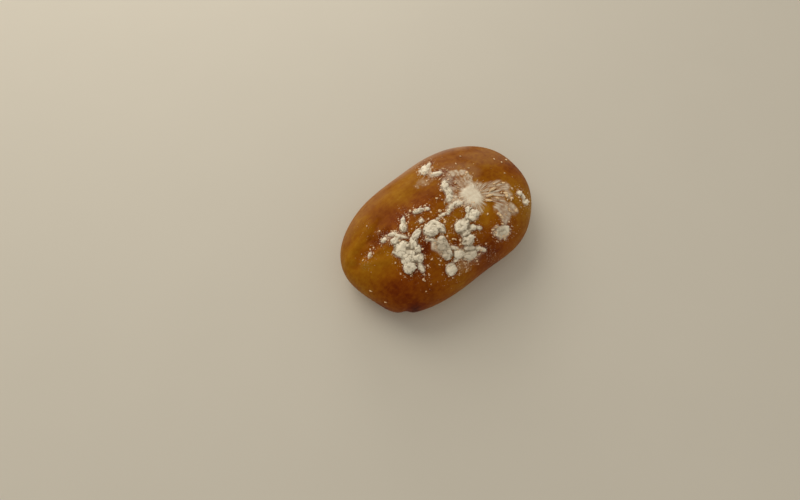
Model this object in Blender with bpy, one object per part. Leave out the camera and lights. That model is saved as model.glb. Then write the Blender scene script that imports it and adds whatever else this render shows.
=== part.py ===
"""Country bread roll: one oval, domed roll with a pinched tail, topped with clumps of powder.

Metres, +Z up. The roll lies on its flat base at z = 0, long along X, with its tail at -X, and the
middle of its box is over the origin. Plan sizes in the tables are millimetres, seen from above.
"""

import math
import random

import bmesh
import bpy
from mathutils import Matrix, Vector, noise
from mathutils.bvhtree import BVHTree

MM = 0.001

# The roll's driving dimensions.
LENGTH = 138.4 * MM
WIDTH = 85.8 * MM  # before the shoulder swells one side
HEIGHT = 48.0 * MM
WIDEST_AT = 0.36  # share of the height at which the roll is widest
FOOT_SPREAD = 0.80  # share of the plan that the flat base covers
DOME_POWER = 2.15  # 2 is an ellipse, more is fuller
HEAD_POWER = 2.30  # the plan's corners at the +X end
TAIL_POWER = 2.56  # the plan's corners at the -X end

# Where the plan leaves its oval: direction, half spread (radians) and share of the radius.
TAIL_FLAT = (-2.9352, 0.2083, -0.0444)
SHOULDER = (-0.8608, 0.3665, 0.0894)

# Lines of relief on the dome: start, end, spread, depth at the start, depth at the end (mm).
# A negative depth is a ridge.
FOLDS = (
    ((-61, 8), (-36, 9), 3.4, 1.5, 1.0),
    ((-57, 12.2), (-45.5, 12.8), 1.5, 0.5, 0.6),
    ((-45.5, 12.8), (-34, 18.4), 1.6, 0.7, 0.4),
    ((-45, 14), (5, 17), 6.0, 1.1, 0.9),
    ((-63, 14), (-57, 4), 2.2, -0.7, -0.7),
    ((-57, 4), (-46, -4.6), 2.2, -0.8, -0.4),
    ((-56.5, 5.8), (-43.8, 2.4), 1.5, -0.5, -0.4),
    ((-60, 15), (-40, 20.2), 2.6, -0.7, -0.5),
    ((-46, 26), (8, 27), 5.0, -0.7, -0.5),
)
UNEVEN_DEPTH = 0.7 * MM
UNEVEN_SPAN = 26 * MM

# The pinch where the tail was tucked under, low on the -Y side.
PINCH_PLACE = Vector((-54, -33, 7)) * MM
PINCH_SPREAD = Vector((2.6, 6.0, 9.0)) * MM
PINCH_DEPTH = 2.4 * MM

# Resolution of the crust: points round it, rings under and over the widest line.
AROUND = 72
RINGS_UNDER = 6
RINGS_OVER = 16

# Heaps of powder: x, y, half length, half width (mm), turn (degrees), height over the crust (mm).
HEAPS = (
    # left heap, with its drip
    (-35.4, 0.8, 2.7, 2.0, -30, 2.0),
    (-35.6, -6, 5.0, 4.6, 0, 2.8),
    (-35.2, -11.8, 4.6, 4.2, 0, 3.0),
    (-38.8, -16.6, 3.6, 3.4, 0, 3.2),
    (-31.6, -16.2, 2.8, 2.5, 0, 2.3),
    (-33.8, -21.0, 3.0, 1.5, 82, 1.6),
    # the arch from the left heap to the middle one
    (-28.6, -7.8, 3.4, 2.3, 50, 2.5),
    (-24, -4.8, 4.0, 1.9, 14, 2.4),
    (-28.8, -11.8, 2.5, 1.8, 60, 2.0),
    # sticks and crumbs above and inside it
    (-31.5, 1, 4.4, 1.0, -55, 1.1),
    (-34, 5.2, 2.6, 1.3, -40, 1.1),
    (-40, 6.2, 1.9, 1.4, 0, 1.3),
    (-26.6, 3.9, 2.8, 2.0, 58, 2.1),
    (-24.2, 7.0, 2.6, 1.2, 52, 1.9),
    (-13.0, 5.9, 3.3, 1.4, -20, 1.8),
    (-8.2, 3.6, 1.4, 1.1, -60, 1.1),
    (-16, 0, 1.4, 1.3, 0, 1.2),
    (-51.6, 5.6, 1.5, 1.0, 30, 0.9),
    (-19.3, -12.6, 2.9, 0.8, -49, 1.2),
    # middle heap and the slab that hangs from it
    (-15.8, -8.4, 4.4, 3.6, -20, 3.0),
    (-10.4, -10.2, 4.0, 2.3, 98, 2.6),
    (-12.2, -5.8, 3.0, 1.8, -20, 2.2),
    (-15.6, -21.0, 6.2, 3.1, 76, 2.0),
    (-13.6, -16.2, 2.0, 1.5, -30, 2.5),
    (-16.6, -25.2, 3.0, 2.6, 0, 2.5),
    (-19.6, -32.6, 3.4, 3.1, 0, 3.2),
    # heap to the right of the slab
    (0.8, -18, 4.6, 3.9, 0, 2.8),
    (0.4, -22.2, 3.4, 1.9, 0, 1.9),
    (6.2, -22.4, 2.3, 1.6, -35, 1.6),
    (9.3, -24.7, 1.7, 1.1, -40, 1.2),
    (-1, -26.2, 3.7, 3.1, 0, 2.7),
    (-3.4, -29.8, 3.2, 1.9, -20, 2.0),
    (-10.4, -29.0, 3.4, 2.5, -25, 2.6),
    (-11, -24.8, 2.6, 1.1, -45, 1.1),
    (-14.0, -30.2, 1.9, 1.1, 10, 1.4),
    (-5.4, -32.6, 4.6, 3.1, -15, 2.3),
    (1.2, -33, 2.2, 1.1, -25, 1.0),
    (3.8, -34.8, 2.4, 0.9, -45, 0.9),
    # crumbly ridge that leads to the big smear, and the clumps round it
    (-8.2, -5.8, 1.5, 0.7, 5, 0.8),
    (-3.8, -5.5, 2.4, 0.8, -5, 0.8),
    (0.4, -6.2, 1.9, 1.1, 15, 1.2),
    (4.0, -5.0, 1.8, 1.3, 10, 1.5),
    (8.4, -5.6, 3.0, 1.7, -25, 1.9),
    (10.6, 8.4, 3.4, 2.0, 50, 1.9),
    (9.4, 4.2, 3.0, 2.0, 85, 1.9),
    (7.2, 0.4, 2.5, 1.8, 30, 1.5),
    (10.8, -12.4, 2.2, 1.6, 20, 1.6),
    (10.4, -16.6, 4.3, 3.0, -8, 2.3),
    (21.0, -34.4, 4.8, 3.0, -12, 1.1),
    (48.6, -21.8, 1.9, 1.6, 0, 1.6),
    (49.6, -24.8, 1.9, 1.4, 70, 1.4),
    (49.0, -28.2, 2.4, 1.8, -10, 1.8),
    # patch high on the far side
    (11, 27.4, 4.4, 2.6, 45, 1.3),
    (15.4, 28.8, 2.6, 1.2, 28, 0.9),
    (13.4, 19.4, 3.6, 1.6, -35, 1.1),
)
# Powder pressed to low domes: the smear's middle, its skirt, and the film to the right of it.
FILM_DOMES = (
    (18.5, -7, 8.2, 7.2, -20, 1.1),
    (20, 8, 8.0, 5.2, -35, 0.8),
    (35, -11.5, 7.5, 4.6, -8, 0.8),
    (31.5, -25, 6.6, 5.0, -50, 0.8),
)
KNOB = 2.5 * MM  # usual radius of one knob of powder on a heap
KNOBS_PER_AREA = 0.5  # knobs for each square of a knob's radius in a heap
LUMP_SUNK = 0.32  # share of a lump's half height that is under the crust
LUMP_POWER = 2.5  # 2 is a ball, more has a flatter top and steeper sides
CORE_RISE = 0.95  # height of a heap's core, as a share of the heap's height
WIDER = 1.08 / math.sqrt(1 - LUMP_SUNK**2)  # so that a sunk core shows its stated outline
BIG_LUMP = 5.0 * MM  # half length over which a lump gets more faces
GOLDEN_ANGLE = math.pi * (3 - math.sqrt(5))
SLIVER = 0.001 * MM  # edges shorter than this are collapsed after the union
SEED = 7

CRUST_COLOUR = (0.50, 0.22, 0.05, 1.0)
CRUST_ROUGHNESS = 0.45


def clear_scene():
    for old in list(bpy.data.objects):
        bpy.data.objects.remove(old, do_unlink=True)


def swelling(angle, place):
    """How much the plan's radius grows or shrinks at this direction, as a factor."""
    direction, spread, share = place
    away = (angle - direction + math.pi) % (2 * math.pi) - math.pi
    return 1 + share * math.exp(-((away / spread) ** 2))


def plan_radius(angle):
    """Distance from the middle to the outline, seen from above."""
    head = 0.5 + 0.5 * math.tanh(3 * math.cos(angle))
    power = TAIL_POWER + (HEAD_POWER - TAIL_POWER) * head
    along = abs(2 * math.cos(angle) / LENGTH) ** power
    across = abs(2 * math.sin(angle) / WIDTH) ** power
    oval = (along + across) ** (-1 / power)
    return oval * swelling(angle, TAIL_FLAT) * swelling(angle, SHOULDER)


def side_profile():
    """(share of the plan radius, height) of each ring, from the base to just short of the crown."""
    widest = WIDEST_AT * HEIGHT
    rings = []
    for step in range(RINGS_UNDER):
        turn = step / RINGS_UNDER * math.pi / 2
        share = FOOT_SPREAD + (1 - FOOT_SPREAD) * math.sin(turn)
        rings.append((share, widest * (1 - math.cos(turn))))
    for step in range(RINGS_OVER):
        turn = step / RINGS_OVER * math.pi / 2
        share = math.cos(turn) ** (2 / DOME_POWER)
        rise = math.sin(turn) ** (2 / DOME_POWER)
        rings.append((share, widest + (HEIGHT - widest) * rise))
    return rings


def fold_depth(point, fold):
    """Depth of one line of relief at this point, in metres."""
    start, end, spread, depth_start, depth_end = fold
    start = Vector(start) * MM
    run = Vector(end) * MM - start
    offset = Vector((point.x, point.y)) - start
    along = min(max(offset.dot(run) / run.length_squared, 0), 1)
    away = (offset - run * along).length / (spread * MM)
    depth = depth_start + (depth_end - depth_start) * along
    return depth * MM * math.exp(-away * away)


def relief(point):
    """How far the crust stands out (+) or is drawn in (-) along its normal at this point."""
    widest = WIDEST_AT * HEIGHT
    on_dome = min(max((point.z - 0.6 * widest) / widest, 0), 1)
    folds = sum(fold_depth(point, fold) for fold in FOLDS)
    uneven = UNEVEN_DEPTH * noise.noise(point / UNEVEN_SPAN)
    away = Vector((gap / spread for gap, spread in zip(point - PINCH_PLACE, PINCH_SPREAD)))
    pinch = PINCH_DEPTH * math.exp(-away.length_squared)
    off_base = min(point.z / (4 * MM), 1)
    return on_dome * (uneven - folds) - off_base * pinch


def make_crust():
    """The roll's own body: rings from the flat base over the widest line to the crown."""
    mesh = bmesh.new()
    rings = []
    for share, height in side_profile():
        ring = []
        for step in range(AROUND):
            angle = step / AROUND * 2 * math.pi
            reach = share * plan_radius(angle)
            ring.append(mesh.verts.new((reach * math.cos(angle), reach * math.sin(angle), height)))
        rings.append(ring)
    crown = mesh.verts.new((0, 0, HEIGHT))
    mesh.faces.new(reversed(rings[0]))
    for lower, upper in zip(rings, rings[1:]):
        for this in range(AROUND):
            after = (this + 1) % AROUND
            mesh.faces.new((lower[this], lower[after], upper[after], upper[this]))
    for this in range(AROUND):
        mesh.faces.new((rings[-1][this], rings[-1][(this + 1) % AROUND], crown))
    mesh.normal_update()
    moves = [(vert, vert.normal * relief(vert.co)) for vert in mesh.verts if vert.co.z > 0]
    for vert, move in moves:
        vert.co += move
    mesh.normal_update()
    return mesh


def make_lump(centre, facing, half_sizes, turn, faces_level, grain):
    """One closed lump: a ball flattened along facing, with an uneven skin."""
    lump = bmesh.new()
    bmesh.ops.create_icosphere(lump, subdivisions=faces_level, radius=1)
    for vert in lump.verts:
        fuller = vert.co.xy.length**LUMP_POWER + abs(vert.co.z) ** LUMP_POWER
        vert.co *= fuller ** (-1 / LUMP_POWER)
        vert.co *= 1 + 0.28 * noise.noise(vert.co * 1.7 + grain)
    stand = facing.to_track_quat("Z", "Y").to_matrix().to_4x4()
    place = Matrix.Translation(centre) @ stand @ Matrix.Rotation(turn, 4, "Z")
    bmesh.ops.transform(lump, matrix=place @ Matrix.Diagonal((*half_sizes, 1)), verts=lump.verts)
    return lump


def on_crust(tree, x, y):
    """The point of the crust straight above this place of the plan, and its normal."""
    point, normal, _, _ = tree.ray_cast(Vector((x, y, 2 * HEIGHT)), Vector((0, 0, -1)))
    return point, normal


def lumps_of_heap(tree, heap, draw):
    """The core of a heap and the knobs spread over it by the golden angle."""
    x, y, half_length, half_width, degrees, rise = heap
    x, y, half_length, half_width, rise = (v * MM for v in (x, y, half_length, half_width, rise))
    turn = math.radians(degrees)
    thick = CORE_RISE * rise / (1 - LUMP_SUNK)
    point, facing = on_crust(tree, x, y)
    stand = facing.to_track_quat("Z", "Y")
    level_turn = turn - stand.to_matrix().col[0].xy.angle_signed(Vector((1, 0)), 0)
    sunk = point - facing * (LUMP_SUNK * thick)
    level = 3 if half_length > BIG_LUMP else 2
    sizes = (half_length * WIDER, half_width * WIDER, thick)
    lumps = [make_lump(sunk, facing, sizes, level_turn, level, noise.random_unit_vector() * 9)]
    count = int(KNOBS_PER_AREA * half_length * half_width / KNOB**2)
    for knob in range(count):
        out = math.sqrt((knob + 0.5) / count)
        swing = knob * GOLDEN_ANGLE + turn
        along = out * half_length * math.cos(swing)
        aside = out * half_width * math.sin(swing)
        spot_x = x + along * math.cos(turn) - aside * math.sin(turn)
        spot_y = y + along * math.sin(turn) + aside * math.cos(turn)
        spot, outwards = on_crust(tree, spot_x, spot_y)
        radius = KNOB * draw.uniform(0.7, 1.15)
        lift = rise * (1.25 - 0.75 * out) / (1 - LUMP_SUNK)
        sizes = (radius * draw.uniform(0.9, 1.3), radius, max(lift, 0.35 * radius))
        sunk = spot - outwards * (LUMP_SUNK * sizes[2])
        grain = noise.random_unit_vector() * 9
        lumps.append(make_lump(sunk, outwards, sizes, draw.uniform(0, math.pi), 2, grain))
    return lumps


def as_object(name, mesh, collection):
    data = bpy.data.meshes.new(name)
    mesh.to_mesh(data)
    mesh.free()
    obj = bpy.data.objects.new(name, data)
    collection.objects.link(obj)
    return obj


def fuse(roll, lumps_collection):
    """Joins every lump to the roll with one Boolean, applies it and removes the lumps."""
    union = roll.modifiers.new("powder", "BOOLEAN")
    union.operation = "UNION"
    union.operand_type = "COLLECTION"
    union.collection = lumps_collection
    union.solver = "MANIFOLD"  # EXACT leaves a few open edges on these lumps
    graph = bpy.context.evaluated_depsgraph_get()
    fused = bpy.data.meshes.new_from_object(roll.evaluated_get(graph))
    roll.modifiers.remove(union)
    roll.data = fused
    for lump in list(lumps_collection.objects):
        bpy.data.objects.remove(lump, do_unlink=True)
    bpy.data.collections.remove(lumps_collection)


def largest_shell(mesh):
    """The connected shell with the most points."""
    left = set(mesh.verts)
    best = set()
    while left:
        shell = set()
        edge_of_search = [left.pop()]
        while edge_of_search:
            vert = edge_of_search.pop()
            shell.add(vert)
            for edge in vert.link_edges:
                other = edge.other_vert(vert)
                if other in left:
                    left.remove(other)
                    edge_of_search.append(other)
        best = max(best, shell, key=len)
    return best


def tidy_and_centre(roll):
    """Drops loose scraps and sealed pockets, splits faces into triangles and centres the box."""
    mesh = bmesh.new()
    mesh.from_mesh(roll.data)
    keep = largest_shell(mesh)
    bmesh.ops.delete(mesh, geom=[v for v in mesh.verts if v not in keep], context="VERTS")
    bmesh.ops.dissolve_degenerate(mesh, dist=SLIVER, edges=mesh.edges)
    bmesh.ops.triangulate(mesh, faces=mesh.faces)
    low = Vector(min(vert.co[axis] for vert in mesh.verts) for axis in range(3))
    high = Vector(max(vert.co[axis] for vert in mesh.verts) for axis in range(3))
    middle = (low + high) / 2
    shift = Vector((-middle.x, -middle.y, -low.z))
    bmesh.ops.translate(mesh, vec=shift, verts=mesh.verts)
    mesh.to_mesh(roll.data)
    mesh.free()
    roll.data.shade_smooth()
    roll.data.set_sharp_from_angle(angle=math.radians(40))


def crust_material():
    material = bpy.data.materials.new("baked_crust")
    material.use_nodes = True
    shader = material.node_tree.nodes["Principled BSDF"]
    shader.inputs["Base Color"].default_value = CRUST_COLOUR
    shader.inputs["Roughness"].default_value = CRUST_ROUGHNESS
    shader.inputs["Metallic"].default_value = 0.0
    material.diffuse_color = CRUST_COLOUR
    return material


def main():
    clear_scene()
    draw = random.Random(SEED)
    noise.seed_set(SEED)
    crust = make_crust()
    tree = BVHTree.FromBMesh(crust)
    powder = bpy.data.collections.new("powder_lumps")
    bpy.context.scene.collection.children.link(powder)
    for number, heap in enumerate(HEAPS + FILM_DOMES):
        for lump in lumps_of_heap(tree, heap, draw):
            as_object(f"lump_{number:02d}", lump, powder)
    roll = as_object("bread_roll", crust, bpy.context.scene.collection)
    fuse(roll, powder)
    tidy_and_centre(roll)
    roll.data.materials.clear()
    roll.data.materials.append(crust_material())


main()
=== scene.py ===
# %% [markdown]
# # A country bread roll, topped with clumps of powder
#
# The roll is an oval, soft-crusted bread, baked golden brown, with a pinched tail at one end.
# White powder was dropped on it: it lies in crumbly heaps, in a thin pressed smear and as loose
# crumbs. This notebook dresses the plain solid of the roll. It makes the baked crust, the heaps
# and the crumbs as meshes of their own, each with a procedural finish, and then sets up a plain
# studio. Everything is in metres, in the solid's own frame: +X points from the tail to the round
# end, +Z up, and the roll rests on z = 0.

# %% Open the frame
import math
import random

import bmesh
import bpy
import numpy as np
from mathutils import Matrix, Vector, noise
from mathutils.bvhtree import BVHTree


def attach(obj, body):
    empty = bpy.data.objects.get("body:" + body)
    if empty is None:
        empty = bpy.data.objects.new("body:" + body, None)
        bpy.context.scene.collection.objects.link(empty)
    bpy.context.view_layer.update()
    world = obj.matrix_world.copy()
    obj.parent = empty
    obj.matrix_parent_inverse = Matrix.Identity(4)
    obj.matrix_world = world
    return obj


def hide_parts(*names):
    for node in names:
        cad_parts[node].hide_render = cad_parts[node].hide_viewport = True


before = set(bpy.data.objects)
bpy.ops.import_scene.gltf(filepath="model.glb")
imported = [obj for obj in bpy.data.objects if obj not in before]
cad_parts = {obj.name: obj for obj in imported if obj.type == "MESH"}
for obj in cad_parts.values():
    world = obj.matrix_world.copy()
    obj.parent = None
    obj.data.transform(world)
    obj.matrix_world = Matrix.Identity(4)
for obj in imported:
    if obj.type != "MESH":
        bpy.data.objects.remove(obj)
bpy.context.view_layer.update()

MM = 0.001

# %% [markdown]
# ## The outline and the side of the roll
#
# A hand-shaped roll is close to an oval. A superellipse gives the plan: its power says how full
# the corners are, and here the tail end is fuller than the head. Two soft swellings, as bell
# curves of the direction, flatten the tail and round out one shoulder. A second superellipse
# gives the dome, and a quarter ellipse tucks the side in under the widest line. These are the
# same rules and sizes that made the solid, so the crust fits it with nothing to adjust.

# %% Sizes of the roll
LENGTH = 138.4 * MM
WIDTH = 85.8 * MM  # before the shoulder swells one side
HEIGHT = 48.0 * MM
WIDEST = 0.36 * HEIGHT  # height of the widest line
FOOT_SPREAD = 0.80  # share of the plan that the flat base covers
DOME_POWER = 2.15
HEAD_POWER = 2.30
TAIL_POWER = 2.56
TAIL_FLAT = (-2.9352, 0.2083, -0.0444)  # direction, half spread (radians), share of the radius
SHOULDER = (-0.8608, 0.3665, 0.0894)


# %% Plan and profile
def swelling(angle, place):
    direction, spread, share = place
    away = (angle - direction + np.pi) % (2 * np.pi) - np.pi
    return 1 + share * np.exp(-((away / spread) ** 2))


def plan_radius(angle):
    head = 0.5 + 0.5 * np.tanh(3 * np.cos(angle))
    power = TAIL_POWER + (HEAD_POWER - TAIL_POWER) * head
    along = np.abs(2 * np.cos(angle) / LENGTH) ** power
    across = np.abs(2 * np.sin(angle) / WIDTH) ** power
    oval = (along + across) ** (-1 / power)
    return oval * swelling(angle, TAIL_FLAT) * swelling(angle, SHOULDER)


def side_profile(inside, under, over):
    """(share of the plan radius, height) of each ring, from the middle of the base upwards."""
    rings = [(FOOT_SPREAD * step / inside, 0.0) for step in range(1, inside)]
    for turn in np.linspace(0, np.pi / 2, under, endpoint=False):
        share = FOOT_SPREAD + (1 - FOOT_SPREAD) * np.sin(turn)
        rings.append((share, WIDEST * (1 - np.cos(turn))))
    for turn in np.linspace(0, np.pi / 2, over, endpoint=False):
        share = np.cos(turn) ** (2 / DOME_POWER)
        rings.append((share, WIDEST + (HEIGHT - WIDEST) * np.sin(turn) ** (2 / DOME_POWER)))
    return rings


# %% [markdown]
# ## Folds and unevenness
#
# Where the baker closed the dough, a valley runs in from the tail, with a sharp little crease
# beside it, and a long soft trough crosses the top. Each is a line on the plan with a bell-shaped
# section. A slow noise keeps the dome from looking turned on a lathe. They go into the mesh and
# not into a bump map, because they change the outline and catch real shadows.

# %% Relief that the solid has too
# Start, end, spread, depth at the start, depth at the end (mm); a negative depth is a ridge.
FOLDS = (
    ((-61, 8), (-36, 9), 3.4, 1.5, 1.0),
    ((-57, 12.2), (-45.5, 12.8), 1.5, 0.5, 0.6),
    ((-45.5, 12.8), (-34, 18.4), 1.6, 0.7, 0.4),
    ((-45, 14), (5, 17), 6.0, 1.1, 0.9),
    ((-63, 14), (-57, 4), 2.2, -0.7, -0.7),
    ((-57, 4), (-46, -4.6), 2.2, -0.8, -0.4),
    ((-56.5, 5.8), (-43.8, 2.4), 1.5, -0.5, -0.4),
    ((-60, 15), (-40, 20.2), 2.6, -0.7, -0.5),
    ((-46, 26), (8, 27), 5.0, -0.7, -0.5),
)
NARROW_FOLDS = FOLDS[:3] + FOLDS[4:8]
UNEVEN_DEPTH = 0.7 * MM
UNEVEN_SPAN = 26 * MM
PINCH_PLACE = np.array((-54, -33, 7)) * MM
PINCH_SPREAD = np.array((2.6, 6.0, 9.0)) * MM
PINCH_DEPTH = 2.4 * MM


def fold_share(points, fold):
    """(closeness to the line from 0 to 1, depth of the line there) for each point."""
    start, end, spread, depth_start, depth_end = fold
    start = np.array(start) * MM
    run = np.array(end) * MM - start
    offset = points[:, :2] - start
    along = np.clip(offset @ run / (run @ run), 0, 1)
    away = np.linalg.norm(offset - along[:, None] * run, axis=1) / (spread * MM)
    return np.exp(-(away**2)), (depth_start + (depth_end - depth_start) * along) * MM


def slow_noise(points, span):
    return np.array([noise.noise(Vector(point)) for point in points / span])


def pinch_share(points):
    return np.exp(-(((points - PINCH_PLACE) / PINCH_SPREAD) ** 2).sum(axis=1))


def relief(points):
    on_dome = np.clip((points[:, 2] - 0.6 * WIDEST) / WIDEST, 0, 1)
    folds = sum(close * depth for close, depth in (fold_share(points, fold) for fold in FOLDS))
    uneven = UNEVEN_DEPTH * slow_noise(points, UNEVEN_SPAN)
    off_base = np.clip(points[:, 2] / (4 * MM), 0, 1)
    return on_dome * (uneven - folds) - off_base * PINCH_DEPTH * pinch_share(points)


# %% [markdown]
# ## The crust as a mesh
#
# The crust is a stack of rings, joined by four-sided faces, with a point at the crown and one
# under the base. Rings follow the roll's own form, so the faces stay even where the side turns
# under. About three quarters of a millimetre a face is fine enough for the pressed powder's edge
# and stays well inside what the finished model may hold.

# %% Rings of the crust
AROUND = 480
RINGS_INSIDE = 9
RINGS_UNDER = 34
RINGS_OVER = 112


def mesh_from(name, points, faces):
    mesh = bpy.data.meshes.new(name)
    mesh.from_pydata(points, [], faces)
    mesh.validate()
    return mesh


def put_in_scene(name, data):
    thing = bpy.data.objects.new(name, data)
    bpy.context.scene.collection.objects.link(thing)
    return thing


def ring_faces(rings, around):
    """Four-sided faces between rings of points, and fans to the two end points after them."""
    faces = []
    for ring in range(rings - 1):
        for this in range(around):
            after = (this + 1) % around
            low, high = ring * around, (ring + 1) * around
            faces.append((low + this, low + after, high + after, high + this))
    bottom, top = rings * around, rings * around + 1
    last = (rings - 1) * around
    for this in range(around):
        after = (this + 1) % around
        faces.append((after, this, bottom))
        faces.append((last + this, last + after, top))
    return faces


angles = np.arange(AROUND) / AROUND * 2 * np.pi
reach = plan_radius(angles)
profile = side_profile(RINGS_INSIDE, RINGS_UNDER, RINGS_OVER)
rows = [np.stack((share * reach * np.cos(angles), share * reach * np.sin(angles),
                  np.full(AROUND, height)), axis=1) for share, height in profile]
smooth_points = np.concatenate(rows + [np.array(((0, 0, 0), (0, 0, HEIGHT)))])
crust_mesh = mesh_from("crust", smooth_points, ring_faces(len(profile), AROUND))
print("crust:", len(crust_mesh.vertices), "points,", len(crust_mesh.polygons), "faces")


# %% Press the relief into the rings
def normals_of(mesh):
    normals = np.empty(len(mesh.vertices) * 3, np.float32)
    mesh.vertex_normals.foreach_get("vector", normals)
    return normals.reshape(-1, 3).astype(float)


def set_points(mesh, points):
    mesh.vertices.foreach_set("co", np.ascontiguousarray(points, np.float32).ravel())
    mesh.update()


pressed = relief(smooth_points)
crust_points = smooth_points + normals_of(crust_mesh) * pressed[:, None]
set_points(crust_mesh, crust_points)
crust_tree = BVHTree.FromPolygons([Vector(p) for p in crust_points],
                                  [tuple(face.vertices) for face in crust_mesh.polygons])
print(f"relief from {pressed.min() / MM:.2f} to {pressed.max() / MM:.2f} mm")

# %% [markdown]
# ## Where the powder lies
#
# The heaps were read off the photograph as ovals on the plan of the roll: place, half length,
# half width, turn and height. Ovals keep the table short, and the crumbly outline comes later
# from the way the powder is made. The pressed smear, its thin skirts and the haze are kept as
# outlines in tables of their own, because they are skin on the crust and not heaps. The haze is a
# little dust by the smear, and a painted sheen along the far edge and the flanks, where the crust
# reflects light.

# %% Heaps, in millimetres and degrees
# x, y, half length, half width, turn, height over the crust
HEAPS = (
    # left heap, with its drip
    (-35.4, 0.8, 2.7, 2, -30, 2), (-35.6, -6, 5, 4.6, 0, 2.8), (-35.2, -11.8, 4.6, 4.2, 0, 3),
    (-38.8, -16.6, 3.6, 3.4, 0, 3.2), (-31.6, -16.2, 2.8, 2.5, 0, 2.3),
    (-33.8, -21, 3, 1.5, 82, 1.6),
    # the arch from the left heap to the middle one
    (-28.6, -7.8, 3.4, 2.3, 50, 2.5), (-24, -4.8, 4, 1.9, 14, 2.4),
    (-28.8, -11.8, 2.5, 1.8, 60, 2),
    # sticks and crumbs above and inside it
    (-31.5, 1, 4.4, 1, -55, 1.1), (-34, 5.2, 2.6, 1.3, -40, 1.1), (-40, 6.2, 1.9, 1.4, 0, 1.3),
    (-26.6, 3.9, 2.8, 2, 58, 2.1), (-24.2, 7, 2.6, 1.2, 52, 1.9), (-13, 5.9, 3.3, 1.4, -20, 1.8),
    (-8.2, 3.6, 1.4, 1.1, -60, 1.1), (-16, 0, 1.4, 1.3, 0, 1.2), (-51.6, 5.6, 1.5, 1, 30, 0.9),
    (-19.3, -12.6, 2.9, 0.8, -49, 1.2),
    # middle heap and the slab that hangs from it
    (-15.8, -8.4, 4.4, 3.6, -20, 3), (-10.4, -10.2, 4, 2.3, 98, 2.6),
    (-12.2, -5.8, 3, 1.8, -20, 2.2), (-15.6, -21, 6.2, 3.1, 76, 2),
    (-13.6, -16.2, 2, 1.5, -30, 2.5), (-16.6, -25.2, 3, 2.6, 0, 2.5),
    (-19.6, -32.6, 3.4, 3.1, 0, 3.2),
    # heap to the right of the slab
    (0.8, -18, 4.6, 3.9, 0, 2.8), (0.4, -22.2, 3.4, 1.9, 0, 1.9),
    (6.2, -22.4, 2.3, 1.6, -35, 1.6), (9.3, -24.7, 1.7, 1.1, -40, 1.2),
    (-1, -26.2, 3.7, 3.1, 0, 2.7), (-3.4, -29.8, 3.2, 1.9, -20, 2),
    (-10.4, -29, 3.4, 2.5, -25, 2.6), (-11, -24.8, 2.6, 1.1, -45, 1.1),
    (-14, -30.2, 1.9, 1.1, 10, 1.4), (-5.4, -32.6, 4.6, 3.1, -15, 2.3),
    (1.2, -33, 2.2, 1.1, -25, 1), (3.8, -34.8, 2.4, 0.9, -45, 0.9),
    # crumbly ridge that leads to the big smear, and the clumps round it
    (-8.2, -5.8, 1.5, 0.7, 5, 0.8), (-3.8, -5.5, 2.4, 0.8, -5, 0.8),
    (0.4, -6.2, 1.9, 1.1, 15, 1.2), (4, -5, 1.8, 1.3, 10, 1.5), (8.4, -5.6, 3, 1.7, -25, 1.9),
    (10.6, 8.4, 3.4, 2, 50, 1.9), (9.4, 4.2, 3, 2, 85, 1.9), (7.2, 0.4, 2.5, 1.8, 30, 1.5),
    (10.8, -12.4, 2.2, 1.6, 20, 1.6), (10.4, -16.6, 4.3, 3, -8, 2.3),
    (21, -34.4, 4.8, 3, -12, 1.1), (48.6, -21.8, 1.9, 1.6, 0, 1.6),
    (49.6, -24.8, 1.9, 1.4, 70, 1.4), (49, -28.2, 2.4, 1.8, -10, 1.8),
    # patch high on the far side
    (11, 27.4, 4.4, 2.6, 45, 1.3), (15.4, 28.8, 2.6, 1.2, 28, 0.9),
    (13.4, 19.4, 3.6, 1.6, -35, 1.1),
)
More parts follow.
